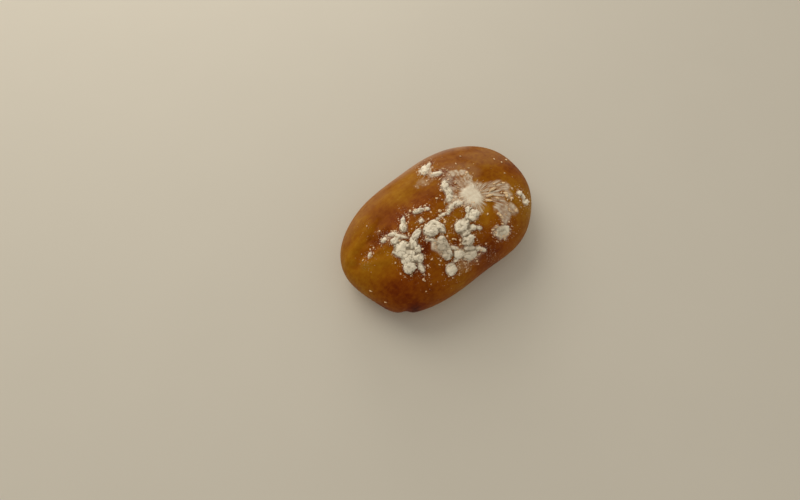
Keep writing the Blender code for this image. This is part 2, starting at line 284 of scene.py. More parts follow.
# single crumbs: x, y, half length, half width, turn
CRUMBS = (
    # round the left heap and in the valley
    (-56.5, 6, 1, 0.7, 0), (-51, 3.8, 0.9, 0.6, 40), (-47, 7.5, 1, 0.6, 0),
    (-43.4, 4.4, 1.2, 0.6, 30), (-43.5, -9, 0.9, 0.7, 0), (-40.2, -20.8, 0.8, 0.6, 0),
    (-35, -25, 1.2, 0.6, -60), (-39.2, -32.5, 0.7, 0.6, 0), (-34.2, -31.5, 0.7, 0.5, 0),
    (-63.4, -9.2, 1.5, 0.6, -60), (-60.6, -20.4, 1.5, 0.5, -40), (-57.5, 8.5, 0.6, 0.4, 0),
    (-24, -26.5, 0.9, 0.6, -50), (-26, -21.5, 1.2, 0.6, -10), (-22.5, -23.8, 1, 0.6, -40),
    (-28.6, -18.6, 0.9, 0.6, -60),
    # round the middle heaps
    (-16.6, 9.4, 1.1, 0.9, 60), (-19, 8, 0.8, 0.7, 0), (-19.5, 1.2, 0.7, 0.6, 0),
    (-20.4, -1.2, 0.8, 0.7, 0), (-5.8, -9.8, 1, 0.8, 30), (-5.8, -4.2, 0.8, 0.7, 0),
    (-3.2, -2.9, 1.1, 1, 0), (-8.4, -20.6, 1.2, 0.8, -30), (-7.2, -21.6, 0.8, 0.6, 60),
    (-5.4, -23.6, 1, 0.8, 70), (1, -13.2, 1.1, 0.6, 0), (-4.2, -14.5, 0.7, 0.6, 0),
    (-10.6, -34.8, 1.2, 0.6, 60), (-14.6, -34.4, 1.1, 0.6, 50), (-12, -38.2, 1.2, 0.6, 60),
    (-8.4, -38.6, 0.9, 0.5, 40),
    # round the smear
    (2.5, -0.5, 1.6, 0.6, 20), (1, 5, 1.2, 0.8, -30), (12.5, 14.5, 1.4, 0.7, 0),
    (16, 2.5, 1.6, 0.6, -60), (16.8, 5.8, 0.9, 0.6, 0), (19, 20.2, 0.7, 0.5, 0),
    (20, 16.5, 1, 0.5, -30), (28, 7.2, 1.1, 0.9, 40), (26.5, 3.2, 0.8, 0.6, 0),
    (30.8, 4.4, 1, 0.5, 40), (31.5, 9.2, 1.1, 0.6, -40), (27.8, 17, 1.2, 0.6, 60),
    (35.2, 20.2, 0.9, 0.7, 0), (36.8, 10, 0.9, 0.4, 0), (29.5, -1, 0.9, 0.5, 0),
    (43.8, 1.2, 0.9, 0.4, -20),
    # ridges of the streaks
    (32.8, -11.2, 3.4, 1, -3), (28.4, -13.3, 3.2, 1, -16), (25.8, -15.5, 2.8, 0.9, -39),
    (39.1, -17.6, 2.1, 1.1, -32), (33.3, -27.8, 2.3, 0.9, -70), (25.4, -27, 2.6, 1.1, -88),
    # the right end
    (37.2, -8.8, 1.5, 0.9, -20), (42.4, -11, 1.8, 0.8, -28), (45.6, -17.1, 1.2, 0.8, -70),
    (31.5, -17.5, 1.5, 1.1, -50), (38.2, -19.4, 1.4, 1.1, 20), (36.8, -21.5, 0.9, 0.7, 0),
    (38.8, -23, 0.9, 0.7, 0), (42.5, -29.5, 0.8, 0.7, 0), (40.2, -32.8, 0.6, 0.5, 0),
    (19, -21.6, 1.1, 0.7, 10), (16, -30.5, 1.3, 0.7, -30), (18.8, -30.8, 1.3, 0.6, -30),
    (23.4, -31.2, 1.4, 0.6, -40), (25.2, -25.4, 1.4, 0.9, -60), (37.6, -29.6, 1.6, 1.1, 10),
    (40.3, -22.1, 1.6, 1, -30), (36.8, -15.9, 1.2, 0.7, 0), (31.6, -23.5, 1.1, 0.5, -60),
    (29.1, -28.5, 1, 0.5, -50), (50, -6.2, 1.3, 0.5, -40), (52.8, -10.8, 0.7, 0.5, 0),
    (52.5, 6, 1, 0.7, 60), (55.2, 1.8, 1.2, 0.7, 10), (60.6, 2.3, 1.2, 0.6, -30),
    (55.6, -24, 0.8, 0.6, 0), (48.8, -31.8, 0.6, 0.5, 0),
)
# powder pressed on to the crust: how opaque, how soft its edge is (mm), how crumbly, its outline
FILMS = (
    # the pressed middle, and its skirt towards the crown in a thick and a thin part
    (0.9, 3.4, 0, (
        (12.5, -3), (16, 0.5), (21, 1), (25.5, 0), (26.6, -6), (25.4, -11), (22, -14.5),
        (18, -15.5), (14.5, -13.5), (12, -9))),
    (0.44, 1.2, 0.15, (
        (17, 15.6), (20.5, 15.6), (24.5, 13.2), (28.5, 10.2), (29.5, 7.5), (28, 3), (27, -1),
        (22, 0), (24, 7), (20, 9.5), (17, 12.5))),
    (0.26, 1.2, 0.15, (
        (8, 9.5), (11, 11.5), (17.5, 15.5), (20, 9.5), (24, 8), (25, -1), (12, 0), (9, 4))),
    # streaks and film to the right of it
    (0.42, 1.8, 0.12, (
        (25, -1), (28.6, -0.4), (30.9, -5.1), (37.3, -7.1), (44.6, -10.2), (45.5, -13.5),
        (43.5, -17), (42.3, -20), (40, -22), (36.5, -20.5), (33, -18.5), (29.7, -18.9),
        (25.3, -15.2), (24.5, -8))),
    (0.5, 1.2, 0.08, (
        (26, -20.5), (29.2, -18.8), (34.3, -20), (38.2, -24.5), (39.2, -30), (35.5, -30.8),
        (31.2, -29.8), (28, -32.2), (25.4, -33), (24, -29.9), (23.9, -25.4))),
    (0.4, 0.9, 0.3, (
        (14.8, -30.4), (19.2, -30.2), (24.4, -31.8), (27, -35), (26, -38.2), (20.2, -38.6),
        (16, -36), (14.6, -33))),
    # thin skirts of the clumps round it
    (0.4, 0.8, 0.5, (
        (5, -14.5), (9, -14), (13, -15), (17, -15.5), (19, -17.5), (16, -19), (12, -20),
        (8.5, -19.5), (5.5, -17.5))),
    (0.46, 0.9, 0.5, (
        (4, 1), (6, 3), (8, 10), (11, 11), (12.5, 7), (12, -2), (12, -8), (8, -8), (4, -6.8),
        (-1, -6.8), (-1, -5), (4, -3))),
    # the far patch
    (0.5, 0.9, 0.5, (
        (6.5, 27.5), (7.5, 30), (10, 31), (13, 30), (17, 30.5), (18, 29.5), (15, 26.5),
        (13.5, 24), (13, 21.5), (16.5, 19.5), (16, 17), (13, 17.2), (10, 20.3), (9.5, 24))),
    (0.18, 1.6, 0.2, (
        (-3, 22.5), (2, 23), (10, 21.5), (10, 17.5), (4, 17), (-1, 19.5))),
    # what lies between the left heaps and beside the slab
    (0.12, 0.9, 0.8, (
        (-41, 5), (-41, 7.5), (-38, 8), (-33, 7), (-30, 3), (-27, -2), (-31, -3), (-36, -1),
        (-39, 2))),
    (0.55, 0.9, 0.3, (
        (-19, -13.5), (-21, -17.5), (-21, -22.5), (-20, -25), (-18, -21), (-16.5, -15.5))),
    (0.1, 0.9, 0.5, (
        (-12, -22), (-8, -26), (-5, -25), (-3, -28), (-10, -31), (-13, -28))),
    (0.08, 1.6, 0.7, (
        (-18, -34), (-10, -38), (0, -38), (6, -35), (3, -32), (-10, -32))),
)
# a haze of dust by the smear, and a pale painted sheen along the far edge and the flanks, where
# the crust reflects light: how opaque, how soft its edge is (mm), its outline
DUST_AND_SHEEN_HAZES = (
    (0.06, 3, (
        (14, 15), (19, 21), (27, 18), (36, 12), (37, 4), (30, 0), (26, 3))),
    (0.26, 7, (
        (-38, 45), (-20, 41), (0, 38.5), (20, 36.5), (34, 33), (46, 28), (52, 34), (40, 46),
        (0, 52), (-38, 50))),
    (0.03, 4, (
        (-56, 22), (-40, 26), (-16, 29), (-16, 40), (-44, 38), (-60, 28))),
    (0.04, 4, (
        (36, 21), (58, 18), (66, 6), (62, -2), (48, 3), (37, 8))),
)
# where the powder is greyer, with painted shade on the slab and the low heaps that face away from
# the light: x, y, spread, amount
GREY_AND_SHADE_SPOTS = (
    (-17, -21, 5.6, 0.7), (-16, -28, 3.2, 0.3), (-19.6, -32.6, 3.4, 0.15), (-4, -31, 6, 0.4),
    (20.5, -33.2, 3.2, 0.6), (31, -25, 7, 0.35), (9, 5, 3.5, 0.15), (20, 10, 6, 0.25),
    (34, -12, 7, 0.25),
)


# %% How close a point is to an oval or an outline
def oval_reach(points, oval):
    """0 in the middle of the oval, 1 on its edge, for each point seen from above."""
    x, y, half_length, half_width, degrees = oval[:5]
    turn = math.radians(degrees)
    offset = points[:, :2] / MM - np.array((x, y))
    along = offset[:, 0] * math.cos(turn) + offset[:, 1] * math.sin(turn)
    aside = offset[:, 1] * math.cos(turn) - offset[:, 0] * math.sin(turn)
    return np.hypot(along / half_length, aside / half_width)


def soft_step(low, high, values):
    share = np.clip((values - low) / (high - low), 0, 1)
    return share * share * (3 - 2 * share)


def gap_to_oval(points, oval):
    """Distance in mm from the oval's edge, below 0 inside it."""
    return (oval_reach(points, oval) - 1) * min(oval[2], oval[3])


def gap_to_nearest_heap(points):
    return np.min([gap_to_oval(points, oval) for oval in HEAPS], axis=0)


def gap_to_outline(points, outline):
    """Distance in mm from a closed outline on the plan, below 0 inside it."""
    plan = points[:, :2] / MM
    corners = np.array(outline, float)
    nearest = np.full(len(plan), np.inf)
    inside = np.zeros(len(plan), bool)
    for start, stop in zip(corners, np.roll(corners, -1, axis=0)):
        run = stop - start
        share = np.clip((plan - start) @ run / (run @ run), 0, 1)
        nearest = np.minimum(nearest, np.linalg.norm(plan - start - share[:, None] * run, axis=1))
        crosses = (start[1] > plan[:, 1]) != (stop[1] > plan[:, 1])
        at = start[0] + (plan[:, 1] - start[1]) / (run[1] if run[1] else 1) * run[0]
        inside ^= crosses & (plan[:, 0] < at)
    return np.where(inside, -nearest, nearest)


# %% [markdown]
# ## Paint the crust's measures on its points
#
# A material can't know where the heaps are or which flank is darker. So the points carry that as
# named attributes: how pressed with powder a point is, how hazed with dust and a painted sheen,
# how grey that powder is with painted shade, how likely a crumb or a speck of dust is there, how
# brown it baked together with painted shade and painted light, how ruddy it is with a painted
# redder shade, and whether it is the underside. The shader and the geometry nodes both read them.

# %% Browning, with painted shade and painted light, in millimetres on the plan
# x, y, spread, how much browner (+) or paler (-); some darker spots are painted shade on the
# lower flank and between the heaps, and some paler ones are painted light on the upper flank
BAKE_AND_SHADE_SPOTS = (
    (-46, -28, 17, 0.24), (-60, -16, 9, 0.12), (-52, -20, 7, 0.1), (-49, -35, 3, 0.3),
    (-24, 14, 11, 0.2), (-2, 11, 12, 0.2), (-41, 10, 6, 0.14), (-14, 23.5, 8, -0.2),
    (-24, 27, 8, -0.08), (30, 24, 15, 0.1), (18, 18, 7, 0.14), (6, -38, 12, 0.14),
    (12, -33, 7, 0.1), (30, -36, 10, 0.05), (-24.5, -14, 4.5, 0.3), (-8, -22, 3, 0.3),
    (-16, -34, 10, -0.06), (16, -23, 7, -0.18), (20, -17, 5, -0.12), (-50, -4, 10, -0.2),
    (-62, 12, 8, -0.1), (-30, 30, 15, -0.06), (62, -4, 10, 0.18), (51, -29, 12, -0.25),
    (-10, 42, 12, 0.1), (15, 42, 12, 0.12), (36, 36, 10, 0.1), (48, 23, 9, 0.06),
    (0, 28, 11, -0.16), (-57, 0, 6, -0.12), (-32, 30, 9, 0.08), (-40, 8, 8, 0.08),
    (40, -15, 5, 0.08), (14, 7, 5, 0.2), (-2, -36, 7, 0.12), (-48, 17, 6, -0.08),
)
# where the crust is redder for its brown, mostly a painted redder shade on the lower flank and in
# the trough: x, y, spread, amount
RUDDY_SHADE_SPOTS = (
    (-46, -26, 20, 0.9), (-30, -34, 12, 0.75), (0, -38, 14, 0.8), (18, -36, 16, 0.85),
    (-27, 12, 12, 0.8), (-8, 8, 9, 0.6), (-52, 6, 12, 0.5), (60, -6, 12, 0.5),
    (-24.5, -14, 6, 0.6),
)
EVEN_BROWN = 0.46
SHADE_PER_FOLD_DEPTH = 0.11  # painted shade in a valley and painted light on a ridge, for each mm that a narrow fold is deep
HEAP_CONTACT_SHADE = (0.18, 1.3)  # how much painted contact shade darkens the crust beside a heap, and how far out, in mm


def rim_share(points):
    """1 on the pale rim just above the base, where the heat came last."""
    return soft_step(0.50 * WIDEST, 0.08 * WIDEST, points[:, 2])


def fade(gap, reach):
    """1 at a gap of 0 or less, and fading out over about reach."""
    return np.exp(-((np.clip(gap, 0, None) / reach) ** 2))


def each_spot(points, table, power=2):
    """How much of each round spot there is at the points; a high power gives a level spot."""
    for x, y, spread, amount in table:
        away = np.hypot(points[:, 0] / MM - x, points[:, 1] / MM - y) / spread
        yield amount * np.exp(-(away**power))


def strongest_spot(points, table, power=2):
    return np.max([np.zeros(len(points)), *each_spot(points, table, power)], axis=0)


def browning_and_shade(points):
    brown_and_shade = np.full(len(points), EVEN_BROWN)
    # some spots are painted shade on the lower flank and between the heaps, and some paler ones
    # painted light on the upper flank
    for spot in each_spot(points, BAKE_AND_SHADE_SPOTS):
        brown_and_shade += spot
    # painted shade darkens the narrow valleys by the tail, and painted light makes their ridges
    # paler
    for fold in NARROW_FOLDS:
        close, depth = fold_share(points, fold)
        on_dome = soft_step(WIDEST, 1.4 * WIDEST, points[:, 2])
        brown_and_shade += SHADE_PER_FOLD_DEPTH * close * depth / MM * on_dome
    # painted contact shadow: the crust is darker just beside a heap
    amount, reach = HEAP_CONTACT_SHADE
    brown_and_shade += amount * fade(gap_to_nearest_heap(points), reach)
    return brown_and_shade - 0.42 * rim_share(points) + 0.55 * pinch_share(points)


# %% Work out film, haze and painted sheen, crumbs and dust
FILM_THICK = 0.6 * MM
UNDER_HEAP = 0.9  # how opaque the film is under a heap
RAGGED = 1.8  # how far the edge of a film wanders, in mm
CRUMB_REACH = 2.2  # how far out from a heap crumbs lie, in mm
DUST_REACH = 3.5
FILM_DUST = (0.22, 1.6)  # how much dust lies round a film, and how far out, in mm
THICK_FILM = 0.2  # thinner films have no dust round them

tops = smooth_points[:, 2]
on_top = soft_step(0.8 * WIDEST, 1.2 * WIDEST, tops)
film, dust_and_sheen, crumbled = np.zeros((3, len(smooth_points)))
near_film = np.full(len(smooth_points), np.inf)
ragged = RAGGED * slow_noise(smooth_points, 4.0 * MM)
patchy = 0.5 + 1.1 * slow_noise(smooth_points, 1.9 * MM)
patchy = patchy + 0.5 * slow_noise(smooth_points, 0.8 * MM)
patchy = np.clip(2 * patchy - 0.35, 0, 1.6)
for heap in HEAPS:
    film = np.maximum(film, UNDER_HEAP * soft_step(0.5, -0.3, gap_to_oval(smooth_points, heap)))
for opaque, softness, crumbly, outline in FILMS:
    gap = gap_to_outline(smooth_points, outline) + ragged
    inside = soft_step(softness, -softness, gap)
    film = np.maximum(film, opaque * inside)
    crumbled = np.maximum(crumbled, crumbly * inside * patchy)
    if opaque > THICK_FILM:
        near_film = np.minimum(near_film, gap)
# the hazes paint a pale sheen along the far edge and the flanks, where the crust reflects light,
# and a little dust by the smear
for opaque, softness, outline in DUST_AND_SHEEN_HAZES:
    gap = gap_to_outline(smooth_points, outline)
    dust_and_sheen = np.maximum(dust_and_sheen, opaque * soft_step(softness, -softness, gap))
near_heap = gap_to_nearest_heap(smooth_points)
dusty = fade(near_heap, DUST_REACH) + FILM_DUST[0] * fade(near_film, FILM_DUST[1])
print("powder film covers", round(100 * float((film * on_top > 0.5).mean())), "% of the points")


# %% Paint them, and raise the film a little
def paint(mesh, measures):
    for name, values in measures.items():
        layer = mesh.attributes.new(name, "FLOAT", "POINT")
        layer.data.foreach_set("value", np.ascontiguousarray(values, np.float32))
        print(f"{name}: from {values.min():.2f} to {values.max():.2f}")


film_rise = FILM_THICK * soft_step(0.5, 1.2, film)
crust_points = crust_points + normals_of(crust_mesh) * (film_rise * on_top)[:, None]
set_points(crust_mesh, crust_points)
# Some of these measures are painted light and shade: a pale sheen on the far edge and flanks,
# shade in the folds, beside the heaps and on the lower flank, and light on the upper flank.
paint(crust_mesh, {
    "film": film * on_top,
    "dust_and_sheen": dust_and_sheen * soft_step(0.2 * WIDEST, 1.0 * WIDEST, tops),
    "crumbled": crumbled * on_top,
    "crumbiness": fade(near_heap, CRUMB_REACH) * on_top,
    "dustiness": np.clip(dusty, 0, 1) * on_top,
    "browned_and_shaded": browning_and_shade(smooth_points),
    "grey_and_shade": strongest_spot(smooth_points, GREY_AND_SHADE_SPOTS, 4),
    "ruddy_shade": strongest_spot(smooth_points, RUDDY_SHADE_SPOTS) * (1 - rim_share(smooth_points)),
    "underside": soft_step(1.6 * MM, 0.2 * MM, tops)})

# %% [markdown]
# ## Helpers that build node trees
#
# Geometry nodes and shaders are both trees of nodes. These helpers add a node with its settings
# and inputs in one call: an input that is given a socket is linked, a list of sockets is joined,
# and anything else is a value. A socket knows its tree, so the new node goes into the same one.

# %% Build and run trees
def is_socket(value):
    return isinstance(value, bpy.types.NodeSocket)


def node(kind, inputs, tree=None, **settings):
    """Adds a node and gives its outputs. A tree is named only where no input is linked."""
    given = [(name, value) for name, values in inputs.items()
             for value in (values if isinstance(values, list) else [values])]
    tree = tree or next(value.id_data for name, value in given if is_socket(value))
    made = tree.nodes.new(kind)
    for name, value in settings.items():
        setattr(made, name, value)
    for name, value in given:
        if is_socket(value):
            tree.links.new(value, made.inputs[name])
        else:
            made.inputs[name].default_value = value
    return made.outputs


def geometry_tree(name, sizes):
    """A geometry tree whose inputs are a mesh, the named sizes, a seed and a material."""
    tree = bpy.data.node_groups.new(name, "GeometryNodeTree")
    kinds = {"Geometry": "Geometry", **dict.fromkeys(sizes, "Float"), "Seed": "Int",
             "Material": "Material"}
    for label, kind in kinds.items():
        tree.interface.new_socket(label, in_out="INPUT", socket_type="NodeSocket" + kind)
    tree.interface.new_socket("Geometry", in_out="OUTPUT", socket_type="NodeSocketGeometry")
    return tree, tree.nodes.new("NodeGroupInput").outputs


def finish_tree(geometry, material):
    real = node("GeometryNodeRealizeInstances", {"Geometry": geometry})[0]
    dressed = node("GeometryNodeSetMaterial", {"Geometry": real, "Material": material})[0]
    node("NodeGroupOutput", {"Geometry": dressed})


def run_tree(name, mesh, tree, values):
    """The plain mesh that the tree makes from this mesh, as an object of its own."""
    carrier = put_in_scene(name, mesh)
    modifier = carrier.modifiers.new(name, "NODES")
    modifier.node_group = tree
    for socket in tree.interface.items_tree:
        if socket.in_out == "INPUT" and socket.name in values:
            modifier[socket.identifier] = values[socket.name]
    graph = bpy.context.evaluated_depsgraph_get()
    made = bpy.data.meshes.new_from_object(carrier.evaluated_get(graph))
    carrier.modifiers.remove(modifier)
    carrier.data = made
    made.name = name
    made.shade_smooth()
    print(name + ":", len(made.vertices), "points,", len(made.polygons), "faces")
    return carrier


# %% Sums and ranges, for both kinds of tree
def math_of(operation, first, second=0.5, clamp=False):
    return node("ShaderNodeMath", {0: first, 1: second}, operation=operation,
                use_clamp=clamp)[0]


def times(first, second):
    return math_of("MULTIPLY", first, second)


def sum_of(parts, middle=0.0):
    """The sum of (value, amount) pairs, where middle is first taken from each value."""
    total = 0.0
    for value, amount in parts:
        value = math_of("SUBTRACT", value, middle) if middle else value
        total = math_of("ADD", total, times(value, amount))
    return total


def vector_of(operation, vector, other=(0, 0, 0)):
    """Vector maths, where other is a factor for SCALE and the second vector for the rest."""
    second = "Scale" if operation == "SCALE" else 1
    return node("ShaderNodeVectorMath", {0: vector, second: other}, operation=operation)[0]


def spread_of(value, low, high, new_low=0.0, new_high=1.0, kind="SMOOTHSTEP"):
    return node("ShaderNodeMapRange", {
        "Value": value, "From Min": low, "From Max": high, "To Min": new_low,
        "To Max": new_high}, interpolation_type=kind)[0]


# %% [markdown]
# ## The baked crust's finish
#
# Crust gets its colour from sugar and flour browning, so it runs from straw through gold to a
# dark red-brown, in soft clouds, with darker skin on tiny blisters. It is painted with a ramp
# whose input is the browning attribute plus noise at four sizes; that attribute also holds
# painted shade and painted light, and a painted redder shade lies on the lower flank and in the
# trough. A soft bread's skin is satin: a fairly rough base under a thin, soft coat. The pressed
# powder is part of the same surface, so it is mixed in by the film attribute. Noise breaks it up
# into fine lines that run out from the middle of the smear, and into cracks elsewhere. A haze
# lies evenly over what it covers: a little dust by the smear, and a painted sheen along the far
# edge and the flanks, where the crust reflects light.

# %% Helpers for materials
def shader_tree(name):
    """A new material, its empty tree and the place of a point on the object."""
    material = bpy.data.materials.new(name)
    material.use_nodes = True
    tree = material.node_tree
    tree.nodes.clear()
    return material, tree, node("ShaderNodeTexCoord", {}, tree)["Object"]


def noise_of(vector, span, detail=3.0, roughness=0.55):
    """Noise from 0 to 1 whose blobs are about span metres apart."""
    return node("ShaderNodeTexNoise", {
        "Vector": vector, "Scale": 1 / span, "Detail": detail, "Roughness": roughness})["Fac"]


def mix_of(share, first, second):
    return node("ShaderNodeMix", {0: share, 2: first, 3: second}, data_type="FLOAT")[0]


def blend_of(share, first, second, kind="MIX"):
    return node("ShaderNodeMix", {0: share, 6: first, 7: second}, data_type="RGBA",
                blend_type=kind)[2]


def attribute_of(tree, name):
    return node("ShaderNodeAttribute", {}, tree, attribute_name=name)["Fac"]


def bump_of(height, strength, distance, **inputs):
    return node("ShaderNodeBump", {
        "Height": height, "Strength": strength, "Distance": distance, **inputs})[0]


def surface(inputs):
    shader = node("ShaderNodeBsdfPrincipled", inputs)[0]
    node("ShaderNodeOutputMaterial", {"Surface": shader})


# %% Colours, linear
CRUST_RAMP = (
    (0.0, (0.46, 0.252, 0.022)),
    (0.30, (0.37, 0.158, 0.004)),
    (0.52, (0.28, 0.090, 0.001)),
    (0.75, (0.165, 0.033, 0.0005)),
    (1.0, (0.070, 0.009, 0.0005)),
)
# painted redder shade, for light bounced round the shaded lower flank and the trough
RUDDY_SHADE_TINT = (1.0, 0.74, 0.55, 1)
SOLE_DARK = (0.16, 0.050, 0.008, 1)
SOLE_LIGHT = (0.34, 0.150, 0.040, 1)
POWDER_COLOUR = (0.99, 0.955, 0.865, 1)
POWDER_SHADE = (0.95, 0.90, 0.80, 1)
POWDER_GREY_AND_SHADE = (0.50, 0.44, 0.37, 1)  # greyer, with painted shade on heaps that face away from the light
POWDER_THIN = (0.62, 0.40, 0.22, 1)  # warmer where it is thin enough for the crust to show
# painted shade for the powder's hollows and creases
POWDER_HOLLOW_SHADE = (0.26, 0.20, 0.135, 1)
CRUMB_LIGHT = (0.95, 0.78, 0.60, 1)
CRUMB_DARK = (0.86, 0.62, 0.42, 1)


def baked_colour(tree, browned_and_shaded):
    made = tree.nodes.new("ShaderNodeValToRGB")
    tree.links.new(browned_and_shaded, made.inputs[0])
    elements = made.color_ramp.elements
    while len(elements) < len(CRUST_RAMP):
        elements.new(0.5)
    for element, (place, colour) in zip(elements, CRUST_RAMP):
        element.position = place
        element.color = (*colour, 1)
    return made.outputs[0]


# %% Where the pressed powder runs out in lines
SMEAR_MIDDLE = (19 * MM, -7 * MM, 0)
LINES_ROUND = 13.0  # more gives finer lines
LINES_ALONG = 130.0  # per metre; more breaks them up sooner
# outwards or across the roll from that middle: start, stop (mm), share of lines at each
LINE_LIMITS = (
    ("outwards", 3, 10, 0.1, 0.8),
    ("outwards", 18, 30, 1.0, 0.5),
    ("across", 1, 9, 1.0, 0.35),
    ("across", -18, -9, 0.5, 1.0),
)


def streaks(place):
    """Lines that run out from the middle of the smear, which turn to cracks away from it."""
    from_middle = vector_of("SUBTRACT", place, SMEAR_MIDDLE)
    from_middle = vector_of("MULTIPLY", from_middle, (1, 1, 0))
    outwards = node("ShaderNodeVectorMath", {0: from_middle}, operation="LENGTH")["Value"]
    across = node("ShaderNodeSeparateXYZ", {"Vector": from_middle})["Y"]
    round_it = vector_of("SCALE", vector_of("NORMALIZE", from_middle), LINES_ROUND)
    stretch = node("ShaderNodeCombineXYZ", {"Z": times(outwards, LINES_ALONG)})[0]
    lines = noise_of(vector_of("ADD", round_it, stretch), 1.0, 1.0, 0.5)
    lines = spread_of(lines, 0.04, 0.96)
    share = 1.0
    for way, start, stop, at_start, at_stop in LINE_LIMITS:
        measured = outwards if way == "outwards" else across
        share = times(share, spread_of(measured, start * MM, stop * MM, at_start, at_stop))
    return mix_of(share, noise_of(place, 2.4 * MM), lines)


# %% The crust's material
def crust_finish():
    material, tree, place = shader_tree("baked_crust_skin")
    clouds = noise_of(place, 16 * MM)
    mottle = noise_of(place, 3.2 * MM, 4)
    grain = noise_of(place, 0.55 * MM)
    wrinkles = noise_of(vector_of("MULTIPLY", place, (0.3, 1.0, 0.7)), 1.5 * MM)

    uneven = ((clouds, 0.50), (mottle, 0.42), (grain, 0.16), (wrinkles, 0.26))
    # the browning attribute also holds painted shade and painted light
    browned_and_shaded = math_of("ADD", attribute_of(tree, "browned_and_shaded"), sum_of(uneven, 0.5),
                      clamp=True)
    crust = baked_colour(tree, browned_and_shaded)
    # a painted redder shade on the lower flank and in the trough
    crust = blend_of(attribute_of(tree, "ruddy_shade"), crust, RUDDY_SHADE_TINT, "MULTIPLY")

    # pressed powder, which breaks up most where the film is neither bare nor thick
    breakup = streaks(place)
    film = attribute_of(tree, "film")
    bare = math_of("SUBTRACT", 1.0, film, clamp=True)
    half_bare = times(times(film, bare), 8.0)
    powdered = times(math_of("SUBTRACT", breakup), half_bare)
    powdered = math_of("ADD", film, powdered, clamp=True)

    # single specks of dust near the heaps, and the haze: dust by the smear, and a painted sheen
    # along the far edge and the flanks
    specks = noise_of(place, 0.9 * MM, 2, 0.7)
    rare = times(attribute_of(tree, "dustiness"), 0.16)
    dust = spread_of(math_of("ADD", specks, rare), 0.79, 0.86)
    white = math_of("MAXIMUM", powdered, times(dust, 0.75), clamp=True)
    white = math_of("MAXIMUM", white, attribute_of(tree, "dust_and_sheen"))

    powder = blend_of(grain, POWDER_SHADE, POWDER_COLOUR)
    # greyer powder, with painted shade where it faces away from the light
    powder = blend_of(attribute_of(tree, "grey_and_shade"), powder, POWDER_GREY_AND_SHADE)
    under = attribute_of(tree, "underside")
    skin = blend_of(under, crust, blend_of(mottle, SOLE_DARK, SOLE_LIGHT))
    dry = math_of("MAXIMUM", white, under)
    rough = spread_of(mottle, 0.25, 0.75, 0.42, 0.58)
    fine = bump_of(sum_of(((mottle, 0.6), (grain, 0.25), (wrinkles, 0.8))), 0.5,
                   0.25 * MM)
    caked = sum_of(((white, 1.0), (times(white, breakup), 0.9)))
    surface({
        "Base Color": blend_of(white, skin, powder),
        "Roughness": mix_of(dry, rough, 0.95),
        "Normal": bump_of(caked, 0.9, 0.35 * MM, Normal=fine),
        "Specular IOR Level": 0.04,
        "Coat Weight": times(math_of("SUBTRACT", 1.0, dry), 0.07),
        "Coat Roughness": 0.28})
    return material


# %% [markdown]
# ## Dress the crust
#
# The crust stands for the roll's whole solid. The powder pieces stand for the lumps that are
# fused to it, so all of them replace the one node and ride on the one body.

# %% Put the crust in the scene
def dress(piece):
    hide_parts("bread_roll")
    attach(piece, "root")


crust = put_in_scene("roll_crust", crust_mesh)
crust_mesh.materials.append(crust_finish())
crust_mesh.shade_smooth()
print("crust's material has", len(crust_mesh.materials[0].node_tree.nodes), "nodes")

# %% [markdown]
# ## Heaps of powder
#
# Damp powder clings together in knobs of a few millimetres, built of crumbs under one
# millimetre, with no hard seam between them. Modelling that by hand would be endless. Instead
# each oval of the table gets a core and a few knobs by the same rule as the solid. Geometry
# nodes then scatter small crumbs over them, turn everything into one volume, which fuses it,
# and turn that back into a mesh with a fine grain and a few creases.

# %% Cores and knobs
KNOB = 2.5 * MM
KNOBS_PER_AREA = 0.5
LUMP_SUNK = 0.32
LUMP_POWER = 2.5  # 2 is a ball, more has a flatter top and steeper sides
CORE_RISE = 0.95
CRUMB_RISE = 0.9  # height of a single crumb for its half width
HIDDEN_DEPTH = 0.10  # the half inside the crust is flatter, to save faces
WIDER = 1.08 / math.sqrt(1 - LUMP_SUNK**2)
GOLDEN_ANGLE = math.pi * (3 - math.sqrt(5))
SEED = 7


def add_lump(mesh, centre, facing, half_sizes, turn, faces_level=4):
    """Adds a ball flattened along facing, with an uneven skin."""
    grain = noise.random_unit_vector() * 9
    before = len(mesh.verts)
    bmesh.ops.create_icosphere(mesh, subdivisions=faces_level, radius=1)
    mesh.verts.ensure_lookup_table()
    fresh = mesh.verts[before:]
    for vert in fresh:
        fuller = vert.co.xy.length**LUMP_POWER + abs(vert.co.z) ** LUMP_POWER
        vert.co *= fuller ** (-1 / LUMP_POWER)
        coarse, fine = noise.noise(vert.co * 1.7 + grain), noise.noise(vert.co * 4 + grain)
        vert.co *= 1 + 0.28 * coarse + 0.10 * fine
        vert.co.z *= 1 if vert.co.z > 0 else HIDDEN_DEPTH
    stand = facing.to_track_quat("Z", "Y").to_matrix().to_4x4()
    place = Matrix.Translation(centre) @ stand @ Matrix.Rotation(turn, 4, "Z")
    bmesh.ops.transform(mesh, matrix=place @ Matrix.Diagonal((*half_sizes, 1)), verts=fresh)


def on_crust(x, y):
    point, normal, _, _ = crust_tree.ray_cast(Vector((x, y, 2 * HEIGHT)), Vector((0, 0, -1)))
    return point, normal


def level_turn(facing, turn):
    """The turn about facing that lays a lump in the direction turn on the plan."""
    sideways = facing.to_track_quat("Z", "Y").to_matrix().col[0].xy
    return turn - sideways.angle_signed(Vector((1, 0)), 0)


